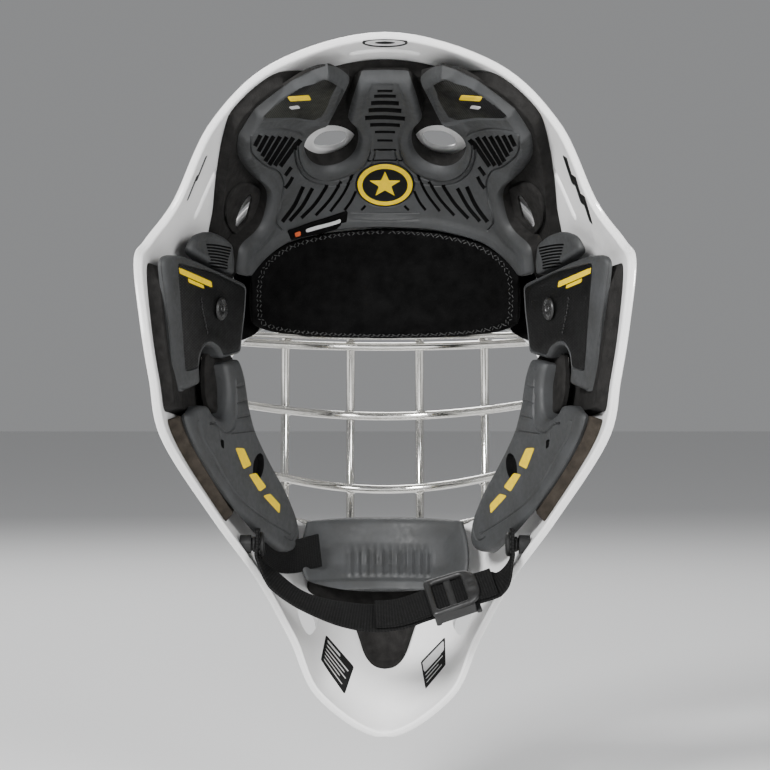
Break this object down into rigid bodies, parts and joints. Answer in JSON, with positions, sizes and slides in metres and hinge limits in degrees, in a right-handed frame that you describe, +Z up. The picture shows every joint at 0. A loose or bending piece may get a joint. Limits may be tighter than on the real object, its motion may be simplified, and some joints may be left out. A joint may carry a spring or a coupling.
{
  "type": "ice hockey goalie mask",
  "caption": "Hard shell mask with a wire face cage, vented crown, foam liners, moulded crown and cheek pads, sweat pad, chin cup and a swinging chin strap with a slide buckle.",
  "frame": {"origin": "centre of the wearer's head, level with the eyes", "axes": "+Z up, the cage faces -Y and the open back faces +Y, +X is the wearer's left"},
  "size_m": [0.249, 0.2269, 0.371],
  "materials": {
    "shell": "white gloss lacquer over a moulded composite",
    "chrome": "polished stainless wire",
    "plated_steel": "satin plated",
    "liner_foam": "charcoal closed-cell foam",
    "comfort_foam": "dark brown soft foam",
    "moulded_pad": "matt grey moulded foam",
    "inlay": "black textured film",
    "badge": "yellow and black moulded emblem",
    "fabric": "black brushed fabric",
    "webbing": "black woven webbing",
    "buckle": "black acetal"
  },
  "bodies": {
    "mask": {"shell": "shell", "cage_frame_wire": "chrome", "cage_cross_wire_brow": "chrome", "cage_cross_wire_eye_upper": "chrome", "cage_cross_wire_eye_lower": "chrome", "cage_cross_wire_mouth": "chrome", "cage_cross_wire_chin": "chrome", "cage_upright_inner_left": "chrome", "cage_upright_inner_right": "chrome", "cage_upright_outer_left": "chrome", "cage_upright_outer_right": "chrome", "cage_clip_brow_left": "plated_steel", "cage_clip_brow_right": "plated_steel", "cage_screw_brow_left": "plated_steel", "cage_screw_brow_right": "plated_steel", "cage_clip_cheek_left": "plated_steel", "cage_clip_cheek_right": "plated_steel", "cage_screw_cheek_left": "plated_steel", "cage_screw_cheek_right": "plated_steel", "cage_clip_chin_left": "plated_steel", "cage_clip_chin_right": "plated_steel", "cage_screw_chin_left": "plated_steel", "cage_screw_chin_right": "plated_steel", "liner_crown": "liner_foam", "liner_side_left": "liner_foam", "liner_side_right": "liner_foam", "liner_jaw_left": "comfort_foam", "liner_jaw_right": "comfort_foam", "crown_pad": "moulded_pad", "crown_inlay_left": "inlay", "crown_inlay_right": "inlay", "crown_badge": "badge", "woven_tag": "fabric", "temple_foam_left": "comfort_foam", "temple_foam_right": "comfort_foam", "sweat_pad": "fabric", "side_pad_left": "moulded_pad", "side_pad_right": "moulded_pad", "temple_pad_left": "inlay", "temple_pad_right": "inlay", "side_panel_left": "inlay", "side_panel_right": "inlay", "side_snap_left": "buckle", "side_snap_right": "buckle", "jaw_pad_left": "moulded_pad", "jaw_pad_right": "moulded_pad", "chin_foam": "liner_foam", "chin_cup": "moulded_pad", "strap_stud_left": "plated_steel", "strap_stud_right": "plated_steel", "press_stud_upper_left": "plated_steel", "press_stud_upper_right": "plated_steel", "press_stud_lower_left": "plated_steel", "press_stud_lower_right": "plated_steel"},
    "strap": {"chin_strap": "webbing", "chin_strap_tail": "webbing", "strap_snap_left": "plated_steel", "strap_snap_right": "plated_steel"},
    "buckle": {"strap_buckle": "buckle"}
  },
  "joints": [
    {"name": "chin_strap_swing", "type": "hinge", "parent": "mask", "child": "strap", "pos_m": [0, -0.036, -0.084], "axis": [1, 0, 0], "range_deg": [-4, 75]},
    {"name": "buckle_slide", "type": "slide", "parent": "strap", "child": "buckle", "axis": [-0.9491, 0, 0.315], "range_m": [-0.011, 0.008]}
  ]
}
